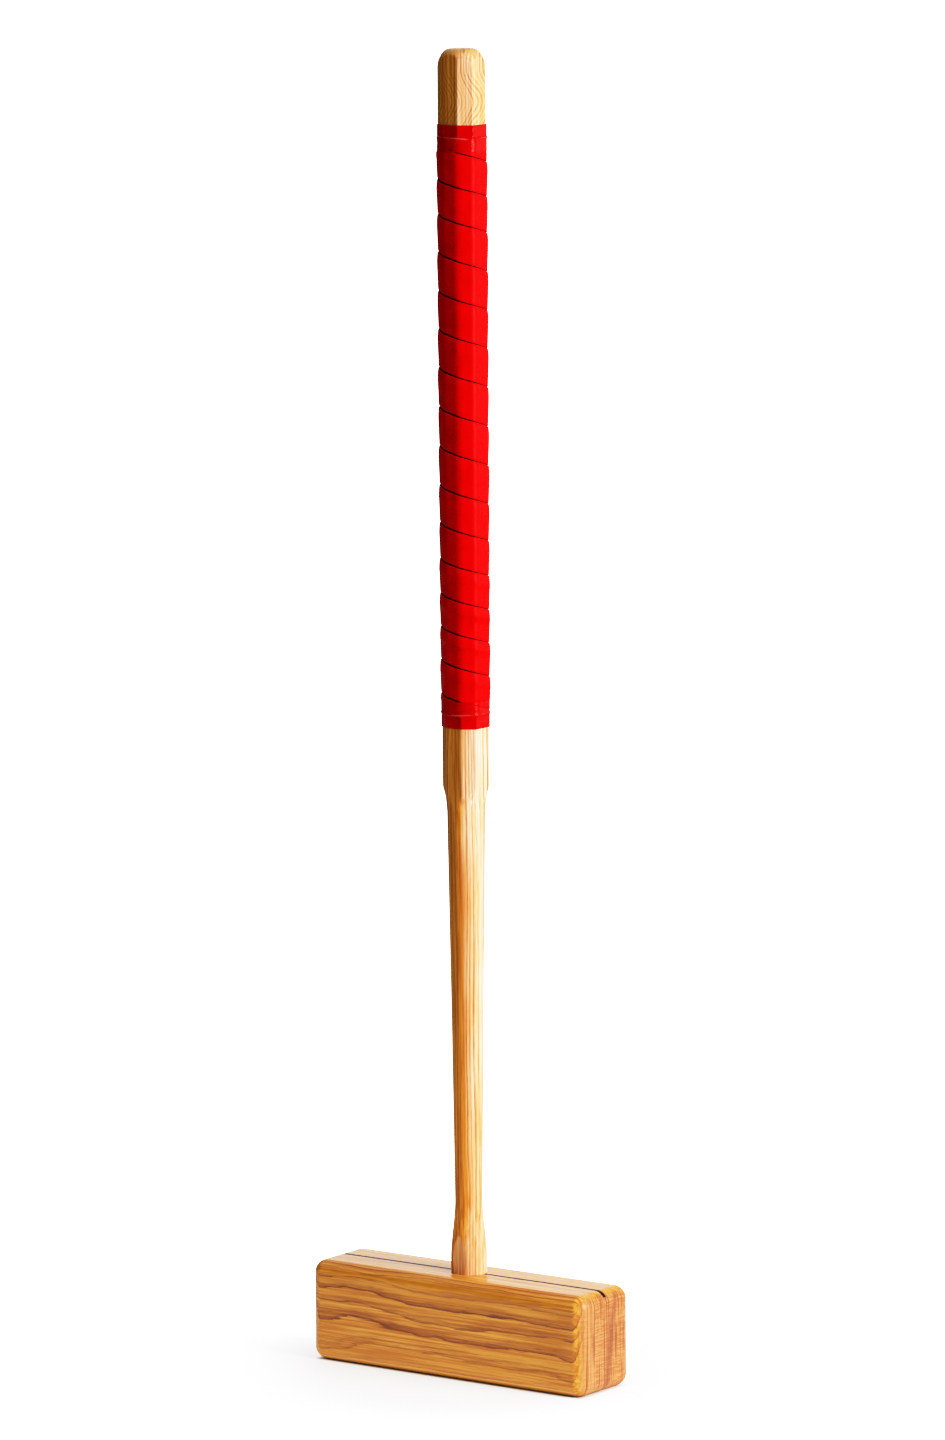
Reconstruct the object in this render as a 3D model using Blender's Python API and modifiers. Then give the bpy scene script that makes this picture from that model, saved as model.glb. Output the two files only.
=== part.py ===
"""Croquet mallet: a lacquered wooden head on a tapered shaft with a taped octagonal handle.

Metres, +Z up. The origin is the centre of the head's underside, where the mallet stands.
+Z runs up the shaft, +X along the head in the direction of the swing, +Y across the head.
Pieces that touch keep a clearance of GAP.
"""

import math

import bmesh
import bpy
from mathutils import Vector

GAP = 0.0003

# Overall
HEIGHT = 0.9144
ROUND_STEPS = 64

# Head
HEAD_LENGTH = 0.230
HEAD_WIDTH = 0.059
HEAD_HEIGHT = 0.0705
HEAD_ROUNDING = 0.009
HEAD_ROUNDING_STEPS = 8

# Sight line inlaid along the top of the head
SIGHT_WIDTH = 0.0032
SIGHT_DEPTH = 0.004

# Octagonal handle, wider along the swing, which tapers a little towards the head
HANDLE_HALF_X = 0.0146
HANDLE_HALF_Y = 0.0137
HANDLE_CHAMFER = 0.01479
HANDLE_CHAMFER_ANGLE = math.radians(55.4)
HANDLE_TAPER = 0.045
HANDLE_BLANK_RADIUS = 0.0185

# Dome on the handle's end
DOME_FLAT_RADIUS = 0.0078
DOME_RADIUS = 0.0170
DOME_DEPTH = 0.0170
DOME_STEPS = 10

# Cove from the octagon down to the round shaft
COVE_TOP = 0.4125
COVE_BOTTOM = 0.388
COVE_STEPS = 7

# Round shaft
SHAFT_TOP_RADIUS = 0.0131
SHAFT_MID_Z = 0.250
SHAFT_MID_RADIUS = 0.0110
SHAFT_WAIST_Z = 0.122
SHAFT_WAIST_RADIUS = 0.0095
FOOT_Z = 0.080
FOOT_RADIUS = 0.0126
FOOT_STEPS = 10
FOOT_HALF_FLAT = 0.0114
FOOT_FLATS_TOP = 0.160

# Tenon through the head, and the wedge that spreads it
TENON_RADIUS = 0.0123
TENON_RECESS = 0.0004
WEDGE_HEIGHT = 0.034
WEDGE_THICK_HALF = 0.0026
WEDGE_THIN_HALF = 0.0006
WEDGE_HALF_WIDTH = 0.0112

# Wound grip: the lower turn laps over the lower edge of the turn above it
WRAP_TOP = 0.8551
WRAP_BOTTOM = 0.4602
WRAP_FIRST_EDGE = 0.8504
WRAP_PITCH = 0.02485
WRAP_STRETCH = 0.0095
WRAP_STRETCH_TURN = 10.4
WRAP_STRETCH_SPREAD = 4.0
WRAP_FIRST_TURN = -2
WRAP_LAST_TURN = 16
WRAP_TAPED_THICK = 0.00075

# Each turn from its upper edge down to the next one's: part of the pitch, thickness
WRAP_PROFILE = ((0.0, 0.0011), (0.22, 0.0014), (0.6, 0.0012), (1.0, 0.0008))
WRAP_CROWN_THICK = max(thickness for part, thickness in WRAP_PROFILE)

# Finishing tapes over the wrap's two ends
TAPE_THICK = 0.0003
UPPER_TAPE_TOP = 0.8633
UPPER_TAPE_BOTTOM = 0.8450
LOWER_TAPE_TOP = 0.4699
LOWER_TAPE_BOTTOM = 0.4512

FACET_ANGLES = [
    0.0,
    HANDLE_CHAMFER_ANGLE,
    math.pi / 2,
    math.pi - HANDLE_CHAMFER_ANGLE,
    math.pi,
    math.pi + HANDLE_CHAMFER_ANGLE,
    math.pi * 3 / 2,
    math.pi * 2 - HANDLE_CHAMFER_ANGLE,
]
FACET_DISTANCES = [HANDLE_HALF_X, HANDLE_CHAMFER, HANDLE_HALF_Y, HANDLE_CHAMFER] * 2
FIRST_CORNER = 4


def clear_scene():
    for obj in list(bpy.data.objects):
        bpy.data.objects.remove(obj, do_unlink=True)


def new_collection(name):
    collection = bpy.data.collections.new(name)
    bpy.context.scene.collection.children.link(collection)
    return collection


def make_material(name, color, roughness, metallic=0.0):
    material = bpy.data.materials.new(name)
    material.use_nodes = True
    shader = material.node_tree.nodes["Principled BSDF"]
    shader.inputs["Base Color"].default_value = (*color, 1.0)
    shader.inputs["Roughness"].default_value = roughness
    shader.inputs["Metallic"].default_value = metallic
    material.diffuse_color = (*color, 1.0)
    return material


def add_object(name, mesh, collection, material=None):
    obj = bpy.data.objects.new(name, mesh)
    collection.objects.link(obj)
    if material:
        mesh.materials.append(material)
    return obj


def add_cutter(name, mesh):
    obj = add_object(name, mesh, CUTTERS)
    obj.hide_render = True
    obj.display_type = "WIRE"
    return obj


def smooth(mesh, angle=40):
    mesh.shade_smooth()
    mesh.set_sharp_from_angle(angle=math.radians(angle))


def boolean(obj, cutter, operation="DIFFERENCE"):
    modifier = obj.modifiers.new(cutter.name, "BOOLEAN")
    modifier.operation = operation
    modifier.solver = "EXACT"
    modifier.object = cutter


def box_mesh(name, low, high):
    """A box between two opposite corners."""
    bm = bmesh.new()
    bmesh.ops.create_cube(bm, size=1.0)
    size = Vector(high) - Vector(low)
    bmesh.ops.scale(bm, verts=bm.verts, vec=size)
    bmesh.ops.translate(bm, verts=bm.verts, vec=(Vector(high) + Vector(low)) / 2)
    mesh = bpy.data.meshes.new(name)
    bm.to_mesh(mesh)
    bm.free()
    return mesh


def loft_mesh(name, rings, tube=False):
    """A skin over rings with equal point counts, from the top ring down.

    A plain loft is capped at both ends. A tube joins its last ring back to its first, for a
    sleeve whose rings run down the outside and back up the inside.
    """
    bm = bmesh.new()
    rows = [[bm.verts.new(point) for point in ring] for ring in rings]
    count = len(rows[0])
    pairs = list(zip(rows, rows[1:]))
    if tube:
        pairs.append((rows[-1], rows[0]))
    for upper, lower in pairs:
        for i in range(count):
            j = (i + 1) % count
            bm.faces.new((upper[i], lower[i], lower[j], upper[j]))
    if not tube:
        bm.faces.new(rows[0])
        bm.faces.new(reversed(rows[-1]))
    mesh = bpy.data.meshes.new(name)
    bm.to_mesh(mesh)
    bm.free()
    return mesh


def turned_object(name, profile, collection, material=None):
    """A profile of (radius, z), top to bottom down its outer side, turned round Z."""
    mesh = bpy.data.meshes.new(name)
    points = [(radius, 0.0, z) for radius, z in profile]
    edges = [(i, i + 1) for i in range(len(points) - 1)]
    mesh.from_pydata(points, edges, [])
    obj = add_object(name, mesh, collection, material)
    screw = obj.modifiers.new("Turn", "SCREW")
    screw.steps = ROUND_STEPS
    screw.render_steps = ROUND_STEPS
    screw.use_merge_vertices = True
    screw.merge_threshold = 0.00001
    screw.use_smooth_shade = True
    return obj


def facet_corner(index, z, offset):
    """The corner between two facets of the handle at height z, each moved out by offset."""
    scale = 1.0 - HANDLE_TAPER * (HEIGHT - z)
    first = FACET_ANGLES[index]
    second = FACET_ANGLES[(index + 1) % 8]
    near = FACET_DISTANCES[index] * scale + offset
    far = FACET_DISTANCES[(index + 1) % 8] * scale + offset
    turn = math.sin(second - first)
    x = (near * math.sin(second) - far * math.sin(first)) / turn
    y = (far * math.cos(first) - near * math.cos(second)) / turn
    return Vector((x, y, z))


def octagon_ring(z, offset):
    """The handle's octagon grown by offset, with sharp corners."""
    return [facet_corner(index, z, offset) for index in range(8)]


def stretched_ring(z, offset):
    """The handle's octagon grown by offset, with corners rounded as tape rounds over them.

    It has three points a corner and starts at FIRST_CORNER.
    """
    ring = []
    for step in range(8):
        index = (FIRST_CORNER + step) % 8
        corner = facet_corner(index, z, 0.0)
        first = FACET_ANGLES[index]
        second = FACET_ANGLES[(index + 1) % 8]
        if second < first:
            second += 2 * math.pi
        for angle in (first, (first + second) / 2, second):
            ring.append(corner + offset * Vector((math.cos(angle), math.sin(angle), 0.0)))
    return ring


def make_head():
    half = Vector((HEAD_LENGTH / 2, HEAD_WIDTH / 2, 0.0))
    mesh = box_mesh("head", -half, half + Vector((0.0, 0.0, HEAD_HEIGHT)))
    smooth(mesh, 60)
    head = add_object("head", mesh, MALLET, make_material("head_wood", (0.56, 0.29, 0.11), 0.22))
    bevel = head.modifiers.new("Rounding", "BEVEL")
    bevel.width = HEAD_ROUNDING
    bevel.segments = HEAD_ROUNDING_STEPS
    bevel.harden_normals = True

    groove_half = SIGHT_WIDTH / 2 + GAP
    groove_bottom = HEAD_HEIGHT - SIGHT_DEPTH - GAP
    groove = box_mesh(
        "sight_groove",
        (-HEAD_LENGTH, -groove_half, groove_bottom),
        (HEAD_LENGTH, groove_half, HEAD_HEIGHT * 2),
    )
    boolean(head, add_cutter("sight_groove", groove))
    boolean(head, add_cutter("mortise", mortise_mesh()))


def mortise_mesh():
    """The round hole with two flats that the tenon fits."""
    bm = bmesh.new()
    bmesh.ops.create_cone(
        bm,
        cap_ends=True,
        segments=ROUND_STEPS,
        radius1=TENON_RADIUS + GAP,
        radius2=TENON_RADIUS + GAP,
        depth=HEAD_HEIGHT * 3,
    )
    limit = FOOT_HALF_FLAT + GAP
    for vert in bm.verts:
        vert.co.y = max(-limit, min(limit, vert.co.y))
    mesh = bpy.data.meshes.new("mortise")
    bm.to_mesh(mesh)
    bm.free()
    return mesh


def make_sight_line(name, side, material):
    """A strip let into the head's top, from the shaft out over the end's roundover."""
    inner = TENON_RADIUS + 2 * GAP
    centre_x = HEAD_LENGTH / 2 - HEAD_ROUNDING
    centre_z = HEAD_HEIGHT - HEAD_ROUNDING
    outline = [(inner, HEAD_HEIGHT - SIGHT_DEPTH), (inner, HEAD_HEIGHT)]
    sweep = math.acos((HEAD_ROUNDING - SIGHT_DEPTH) / HEAD_ROUNDING)
    for step in range(HEAD_ROUNDING_STEPS + 1):
        angle = sweep * step / HEAD_ROUNDING_STEPS
        x = centre_x + HEAD_ROUNDING * math.sin(angle)
        outline.append((x, centre_z + HEAD_ROUNDING * math.cos(angle)))
    bm = bmesh.new()
    verts = [bm.verts.new((side * x, -SIGHT_WIDTH / 2, z)) for x, z in outline]
    face = bm.faces.new(verts)
    extruded = bmesh.ops.extrude_face_region(bm, geom=[face])
    moved = [item for item in extruded["geom"] if isinstance(item, bmesh.types.BMVert)]
    bmesh.ops.translate(bm, verts=moved, vec=(0.0, SIGHT_WIDTH, 0.0))
    bmesh.ops.recalc_face_normals(bm, faces=bm.faces)
    mesh = bpy.data.meshes.new(name)
    bm.to_mesh(mesh)
    bm.free()
    smooth(mesh, 30)
    add_object(name, mesh, MALLET, material)


def quarter_arc(start, end, steps):
    """Points of a quarter-ellipse (radius, z) that leaves start level and meets end upright."""
    points = []
    for step in range(steps + 1):
        angle = math.pi / 2 * step / steps
        radius = start[0] + (end[0] - start[0]) * math.sin(angle)
        points.append((radius, start[1] + (end[1] - start[1]) * (1 - math.cos(angle))))
    return points


def shaft_profile():
    """The stick's turned outline from the handle's end down to the tenon."""
    profile = [(0.0, HEIGHT)]
    dome_bottom = (DOME_RADIUS, HEIGHT - DOME_DEPTH)
    profile += quarter_arc((DOME_FLAT_RADIUS, HEIGHT), dome_bottom, DOME_STEPS)
    profile.append((HANDLE_BLANK_RADIUS, HEIGHT - DOME_DEPTH * 2))
    cove_top = (HANDLE_BLANK_RADIUS, COVE_TOP)
    profile += quarter_arc(cove_top, (SHAFT_TOP_RADIUS, COVE_BOTTOM), COVE_STEPS)
    profile.append((SHAFT_MID_RADIUS, SHAFT_MID_Z))
    for step in range(FOOT_STEPS + 1):
        part = step / FOOT_STEPS
        ease = part * part * (3 - 2 * part)
        radius = SHAFT_WAIST_RADIUS + (FOOT_RADIUS - SHAFT_WAIST_RADIUS) * ease
        profile.append((radius, SHAFT_WAIST_Z + (FOOT_Z - SHAFT_WAIST_Z) * part))
    profile.append((TENON_RADIUS, HEAD_HEIGHT))
    profile.append((TENON_RADIUS, TENON_RECESS))
    profile.append((0.0, TENON_RECESS))
    return profile


def wedge_mesh(name, bottom, top, bottom_half, top_half, half_width):
    """A wedge whose thickness runs along X."""
    mesh = box_mesh(name, (-1.0, -half_width, bottom), (1.0, half_width, top))
    middle = (bottom + top) / 2
    for vert in mesh.vertices:
        vert.co.x *= bottom_half if vert.co.z < middle else top_half
    return mesh


def make_shaft():
    wood = make_material("shaft_wood", (0.62, 0.34, 0.12), 0.25)
    shaft = turned_object("shaft", shaft_profile(), MALLET, wood)

    facet_low = COVE_BOTTOM - 0.006
    facet_high = HEIGHT + 0.01
    around = HANDLE_BLANK_RADIUS * 1.5
    facets = loft_mesh(
        "handle_facets",
        [
            octagon_ring(facet_high, around),
            octagon_ring(facet_low, around),
            octagon_ring(facet_low, 0.0),
            octagon_ring(facet_high, 0.0),
        ],
        tube=True,
    )
    boolean(shaft, add_cutter("handle_facets", facets))

    for name, side in (("foot_flat_front", -1), ("foot_flat_back", 1)):
        near = side * FOOT_HALF_FLAT
        far = side * FOOT_HALF_FLAT * 2
        flat = box_mesh(
            name,
            (-FOOT_RADIUS * 2, min(near, far), -0.01),
            (FOOT_RADIUS * 2, max(near, far), FOOT_FLATS_TOP),
        )
        boolean(shaft, add_cutter(name, flat))

    kerf_bottom = -WEDGE_HEIGHT
    slope = (WEDGE_THICK_HALF - WEDGE_THIN_HALF) / WEDGE_HEIGHT
    kerf_half = WEDGE_THICK_HALF + GAP + slope * (WEDGE_HEIGHT + TENON_RECESS)
    kerf_top = WEDGE_HEIGHT + TENON_RECESS + GAP
    kerf_top_half = WEDGE_THIN_HALF + GAP
    kerf = wedge_mesh("kerf", kerf_bottom, kerf_top, kerf_half, kerf_top_half, FOOT_RADIUS * 2)
    boolean(shaft, add_cutter("kerf", kerf))


def make_wedge():
    mesh = wedge_mesh(
        "tenon_wedge",
        TENON_RECESS,
        TENON_RECESS + WEDGE_HEIGHT,
        WEDGE_THICK_HALF,
        WEDGE_THIN_HALF,
        WEDGE_HALF_WIDTH,
    )
    wood = make_material("wedge_wood", (0.68, 0.46, 0.24), 0.45)
    add_object("tenon_wedge", mesh, MALLET, wood)


def wrap_edge_z(turn):
    """Height of the wound tape's upper edge after a number of turns from the first edge."""
    spread = (turn - WRAP_STRETCH_TURN) / WRAP_STRETCH_SPREAD
    return WRAP_FIRST_EDGE - WRAP_PITCH * turn - WRAP_STRETCH * math.exp(-spread * spread)


def ring_fractions():
    """How far round the wrap each point of a stretched ring lies, from 0 to 1."""
    ring = stretched_ring((WRAP_TOP + WRAP_BOTTOM) / 2, WRAP_CROWN_THICK)
    sides = [(ring[(i + 1) % len(ring)] - ring[i]).length for i in range(len(ring))]
    return [sum(sides[:i]) / sum(sides) for i in range(len(sides))]


def make_grip_wrap():
    """The tape wound down the handle, as one sleeve with a step at each turn's upper edge."""
    fractions = ring_fractions()
    count = len(fractions)
    bm = bmesh.new()
    outer = []
    inner = []
    for sample in range((WRAP_LAST_TURN - WRAP_FIRST_TURN + 1) * count + 1):
        point = sample % count
        turn = WRAP_FIRST_TURN + sample // count + fractions[point]
        high = wrap_edge_z(turn)
        low = wrap_edge_z(turn + 1)
        column = []
        for part, thickness in WRAP_PROFILE:
            z = high + (low - high) * part
            column.append(bm.verts.new(stretched_ring(z, thickness)[point]))
        outer.append(column)
        inner.append(bm.verts.new(stretched_ring(high, GAP)[point]))

    turns = WRAP_LAST_TURN - WRAP_FIRST_TURN
    last = turns * count
    for i in range(last):
        for m in range(3):
            bm.faces.new((outer[i][m], outer[i][m + 1], outer[i + 1][m + 1], outer[i + 1][m]))
        step = (outer[i][3], outer[i + count][0], outer[i + count + 1][0], outer[i + 1][3])
        bm.faces.new(step)
        bm.faces.new((inner[i], inner[i + 1], inner[i + count + 1], inner[i + count]))
    for i in range(count):
        bm.faces.new((inner[i], outer[i][0], outer[i + 1][0], inner[i + 1]))
        j = last + i
        bm.faces.new((outer[j][0], inner[j], inner[j + 1], outer[j + 1][0]))
    start = [inner[0], inner[count], outer[count][0]] + outer[0][::-1]
    bm.faces.new(start)
    end = outer[last] + [outer[last + count][0], inner[last + count], inner[last]]
    bm.faces.new(end)
    loose = [vert for vert in bm.verts if not vert.link_faces]
    bmesh.ops.delete(bm, geom=loose, context="VERTS")
    mesh = bpy.data.meshes.new("grip_wrap")
    bm.to_mesh(mesh)
    bm.free()
    smooth(mesh, 30)
    red = make_material("grip_red", (0.60, 0.005, 0.012), 0.45)
    wrap = add_object("grip_wrap", mesh, MALLET, red)

    clear = WRAP_CROWN_THICK * 2
    under_upper = UPPER_TAPE_BOTTOM - GAP
    under_lower = LOWER_TAPE_TOP + GAP
    envelope = loft_mesh(
        "wrap_envelope",
        [
            stretched_ring(WRAP_TOP, WRAP_TAPED_THICK),
            stretched_ring(under_upper, WRAP_TAPED_THICK),
            stretched_ring(under_upper, clear),
            stretched_ring(under_lower, clear),
            stretched_ring(under_lower, WRAP_TAPED_THICK),
            stretched_ring(WRAP_BOTTOM, WRAP_TAPED_THICK),
        ],
    )
    boolean(wrap, add_cutter("wrap_envelope", envelope), "INTERSECT")


def make_tape(name, on_wood, wrap_end, on_wrap, material):
    """A band of tape from a height on the bare wood, past the wrap's end, to one on the wrap."""
    away = 1 if on_wood > wrap_end else -1
    wrap_inside = WRAP_TAPED_THICK + GAP
    step_inside = wrap_end + away * GAP
    step_outside = step_inside + away * TAPE_THICK
    outside = [
        (on_wood, GAP + TAPE_THICK),
        (step_outside, GAP + TAPE_THICK),
        (step_outside, wrap_inside + TAPE_THICK),
        (on_wrap, wrap_inside + TAPE_THICK),
    ]
    inside = [
        (on_wrap, wrap_inside),
        (step_inside, wrap_inside),
        (step_inside, GAP),
        (on_wood, GAP),
    ]
    if away < 0:
        outside.reverse()
        inside.reverse()
    rings = [stretched_ring(z, offset) for z, offset in outside + inside]
    mesh = loft_mesh(name, rings, tube=True)
    smooth(mesh, 30)
    add_object(name, mesh, MALLET, material)


def make_tapes():
    vinyl = make_material("tape_red_upper", (0.55, 0.004, 0.008), 0.15)
    make_tape("upper_finishing_tape", UPPER_TAPE_TOP, WRAP_TOP, UPPER_TAPE_BOTTOM, vinyl)
    vinyl = make_material("tape_red_lower", (0.55, 0.004, 0.008), 0.15)
    make_tape("lower_finishing_tape", LOWER_TAPE_BOTTOM, WRAP_BOTTOM, LOWER_TAPE_TOP, vinyl)


clear_scene()
MALLET = new_collection("croquet_mallet")
CUTTERS = new_collection("cutters")
make_head()
make_shaft()
make_wedge()
black = make_material("sight_black_left", (0.012, 0.011, 0.011), 0.2)
make_sight_line("sight_line_left", -1, black)
black = make_material("sight_black_right", (0.012, 0.011, 0.011), 0.2)
make_sight_line("sight_line_right", 1, black)
make_grip_wrap()
make_tapes()
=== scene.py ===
"""Croquet mallet: the looks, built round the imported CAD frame. Metres, +Z up, +X along the head."""

import math

import bmesh
import bpy
from mathutils import Matrix, Vector


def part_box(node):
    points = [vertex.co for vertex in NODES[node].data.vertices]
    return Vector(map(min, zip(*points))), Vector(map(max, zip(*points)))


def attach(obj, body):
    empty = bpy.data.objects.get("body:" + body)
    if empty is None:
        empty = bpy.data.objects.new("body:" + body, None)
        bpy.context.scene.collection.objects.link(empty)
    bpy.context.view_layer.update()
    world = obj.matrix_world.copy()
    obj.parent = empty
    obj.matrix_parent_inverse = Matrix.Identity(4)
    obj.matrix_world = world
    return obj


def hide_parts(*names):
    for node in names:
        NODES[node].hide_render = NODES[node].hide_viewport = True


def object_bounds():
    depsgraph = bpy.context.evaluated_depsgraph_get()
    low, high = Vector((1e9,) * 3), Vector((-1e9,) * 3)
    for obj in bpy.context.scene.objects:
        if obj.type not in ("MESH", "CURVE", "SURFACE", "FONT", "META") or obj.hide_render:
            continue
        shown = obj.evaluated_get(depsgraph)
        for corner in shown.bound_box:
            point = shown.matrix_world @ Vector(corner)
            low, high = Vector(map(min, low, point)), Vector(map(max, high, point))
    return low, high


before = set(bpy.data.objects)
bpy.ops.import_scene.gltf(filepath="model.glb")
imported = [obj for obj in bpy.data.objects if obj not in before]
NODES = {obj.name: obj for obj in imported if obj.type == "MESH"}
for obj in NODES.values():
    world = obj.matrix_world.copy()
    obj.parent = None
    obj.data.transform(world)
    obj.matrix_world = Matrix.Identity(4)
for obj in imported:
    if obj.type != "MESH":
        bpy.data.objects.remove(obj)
CAD_LOW, CAD_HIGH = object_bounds()

# ---------------------------------------------------------------- sizes read from the frame

HEAD_LOW, HEAD_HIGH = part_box("head")
SHAFT_LOW, SHAFT_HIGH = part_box("shaft")
WRAP_LOW, WRAP_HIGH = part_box("grip_wrap")
UPPER_LOW, UPPER_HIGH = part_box("upper_finishing_tape")
LOWER_LOW, LOWER_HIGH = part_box("lower_finishing_tape")
SIGHT_LOW, SIGHT_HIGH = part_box("sight_line_right")
WEDGE_LOW, WEDGE_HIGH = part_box("tenon_wedge")

# The nominal gap between a visible piece and the one it touches
CLEAR = 0.00006

# The handle's octagon: half-sizes, and how far out and which way its chamfers face
HANDLE_HALF_X = SHAFT_HIGH.x
HANDLE_HALF_Y = SHAFT_HIGH.y
HANDLE_CHAMFER = 0.01479
HANDLE_CHAMFER_ANGLE = math.radians(55.4)
HANDLE_TAPER = 0.045
HANDLE_ARRIS = 0.00035
FACET_ANGLES = [0.0, HANDLE_CHAMFER_ANGLE, math.pi / 2, math.pi - HANDLE_CHAMFER_ANGLE]
FACET_ANGLES += [angle + math.pi for angle in FACET_ANGLES]
FACET_DISTANCES = [HANDLE_HALF_X, HANDLE_CHAMFER, HANDLE_HALF_Y, HANDLE_CHAMFER] * 2
FIRST_CORNER = 4
ARC_STEPS = 6
FACET_STEPS = 8
SHALLOW_CORNER = math.radians(45)
SHALLOW_ROUNDING = 1.9

# The turned shaft, as in the CAD
DOME_FLAT_RADIUS = 0.0078
DOME_RADIUS = 0.0170
DOME_DEPTH = 0.0170
BLANK_RADIUS = 0.0185
COVE_TOP = 0.4125
COVE_BOTTOM = 0.388
SHAFT_TOP_RADIUS = 0.0131
SHAFT_MID_Z = 0.250
SHAFT_MID_RADIUS = 0.0110
WAIST_Z = 0.122
WAIST_RADIUS = 0.0095
FOOT_Z = 0.080
FOOT_RADIUS = 0.0126
FOOT_HALF_FLAT = 0.0114
FOOT_FLATS_TOP = 0.160
TENON_RADIUS = 0.0123
TENON_END = SHAFT_LOW.z
FACETS_END = COVE_BOTTOM - 0.006
FOOT_ARRIS = 0.0001
# How softly the painted light on the foot's flats fades in at their edges
FLAT_PAINTED_SOFT = 0.0001

# The slot in the tenon, against its wedge
KERF_GAP = 0.0001
KERF_BELOW = 0.01

# The head
HEAD_ROUNDING = 0.009
HEAD_ROUNDING_STEPS = 14
MORTISE_SIDES = 128

# The wound tape's upper edge
WRAP_FIRST_EDGE = 0.8504
WRAP_PITCH = 0.02485
WRAP_STRETCH = 0.0095
WRAP_STRETCH_TURN = 10.4
WRAP_STRETCH_SPREAD = 4.0
WRAP_SLIP = 0.0023
WRAP_SLIP_TURN = 2.25
WRAP_SLIP_SPREAD = 1.4
WRAP_FIRST_TURN = -2
WRAP_LAST_TURN = 16
WRAP_ROUNDING = 0.0055
WRAP_MEAN_THICK = 0.0012
WRAP_TAPED_THICK = 0.0009
WRAP_BRIDGED_THICK = 0.00072
PRESS_REACH = 0.0015
SLEEVE_ROWS = 20

# Finishing tapes. At its two borders a tape is thinner by a factor. The lip is where it is
# stretched over the wrap's end, and the lip's place is in ledges past that end.
TAPE_THICK = 0.0004
TAPE_ROUNDING_ON_WOOD = 0.0008
TAPE_ROUNDING_ON_WRAP = 0.0075
TAPE_LEDGE = 0.0009
TAPE_LIP_PLACE = 1.3
TAPE_LIP_WIDTH = 0.0007
TAPE_LIP_HEIGHT = 0.00026
TAPE_BORDER_FACTOR = 0.55
TAPE_ROWS = 64
UPPER_TAPE_SEED = 1.0
LOWER_TAPE_SEED = 2.4

# Camera, on the long near side of the head with the +X end turned towards it
CAMERA_AZIMUTH = math.radians(35.5)
CAMERA_DROP = math.radians(8.51)
CAMERA_DISTANCE = 5.672
CAMERA_TARGET_Z = 0.4556
CAMERA_SIDESTEP = 0.0047
CAMERA_LEAN = math.radians(0.37)
CAMERA_LENS = 207.45
CAMERA_SENSOR = 36
CAMERA_FAR = 100


# ---------------------------------------------------------------- node helpers


class Tree:
    """A node tree with short calls. All but node and put add a node and return its output."""

    def __init__(self, tree):
        self.tree = tree
        self.x = 0

    def node(self, kind, **settings):
        made = self.tree.nodes.new(kind)
        made.location = (self.x, 0)
        self.x += 180
        for key, value in settings.items():
            setattr(made, key, value)
        return made

    def put(self, socket, value):
        if isinstance(value, bpy.types.NodeSocket):
            self.tree.links.new(value, socket)
        elif value is not None:
            socket.default_value = value

    def math(self, operation, a, b=None, c=None, clamp=False):
        made = self.node("ShaderNodeMath", operation=operation, use_clamp=clamp)
        for socket, value in zip(made.inputs, (a, b, c)):
            self.put(socket, value)
        return made.outputs[0]

    def vector(self, operation, a, b=None):
        made = self.node("ShaderNodeVectorMath", operation=operation)
        self.put(made.inputs[0], a)
        self.put(made.inputs[1], b)
        scalar = operation in ("DOT_PRODUCT", "LENGTH")
        return made.outputs["Value" if scalar else "Vector"]

    def combine(self, x, y, z):
        made = self.node("ShaderNodeCombineXYZ")
        for socket, value in zip(made.inputs, (x, y, z)):
            self.put(socket, value)
        return made.outputs[0]

    def separate(self, vector):
        made = self.node("ShaderNodeSeparateXYZ")
        self.put(made.inputs[0], vector)
        return made.outputs[:]

    def noise(self, vector, scale=1.0, detail=2.0, roughness=0.5, distortion=0.0):
        made = self.node("ShaderNodeTexNoise")
        self.put(made.inputs["Vector"], vector)
        self.put(made.inputs["Scale"], scale)
        self.put(made.inputs["Detail"], detail)
        self.put(made.inputs["Roughness"], roughness)
        self.put(made.inputs["Distortion"], distortion)
        return made.outputs["Fac"]

    def random(self, value):
        made = self.node("ShaderNodeTexWhiteNoise", noise_dimensions="1D")
        self.put(made.inputs["W"], value)
        return made.outputs["Value"]

    def remap(self, value, low, high, new_low=0.0, new_high=1.0, kind="SMOOTHSTEP"):
        made = self.node("ShaderNodeMapRange", interpolation_type=kind)
        names = ("Value", "From Min", "From Max", "To Min", "To Max")
        for name, number in zip(names, (value, low, high, new_low, new_high)):
            self.put(made.inputs[name], number)
        return made.outputs["Result"]

    def mix(self, factor, a, b, blend="MIX"):
        made = self.node("ShaderNodeMix", data_type="RGBA", blend_type=blend)
        self.put(made.inputs["Factor"], factor)
        self.put(made.inputs["A"], a)
        self.put(made.inputs["B"], b)
        return made.outputs["Result"]

    def bump(self, height, distance, strength=1.0, normal=None):
        made = self.node("ShaderNodeBump")
        self.put(made.inputs["Height"], height)
        self.put(made.inputs["Distance"], distance)
        self.put(made.inputs["Strength"], strength)
        self.put(made.inputs["Normal"], normal)
        return made.outputs["Normal"]


def color(red, green, blue):
    """A colour given as 0-255 screen values, as the shader's linear values."""

    def linear(value):
        value /= 255
        return value / 12.92 if value <= 0.04045 else ((value + 0.055) / 1.055) ** 2.4

    return (linear(red), linear(green), linear(blue), 1.0)


def new_material(name):
    material = bpy.data.materials.new(name)
    material.use_nodes = True
    tree = Tree(material.node_tree)
    shader = material.node_tree.nodes["Principled BSDF"]
    return material, tree, shader


# ---------------------------------------------------------------- wood

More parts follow.
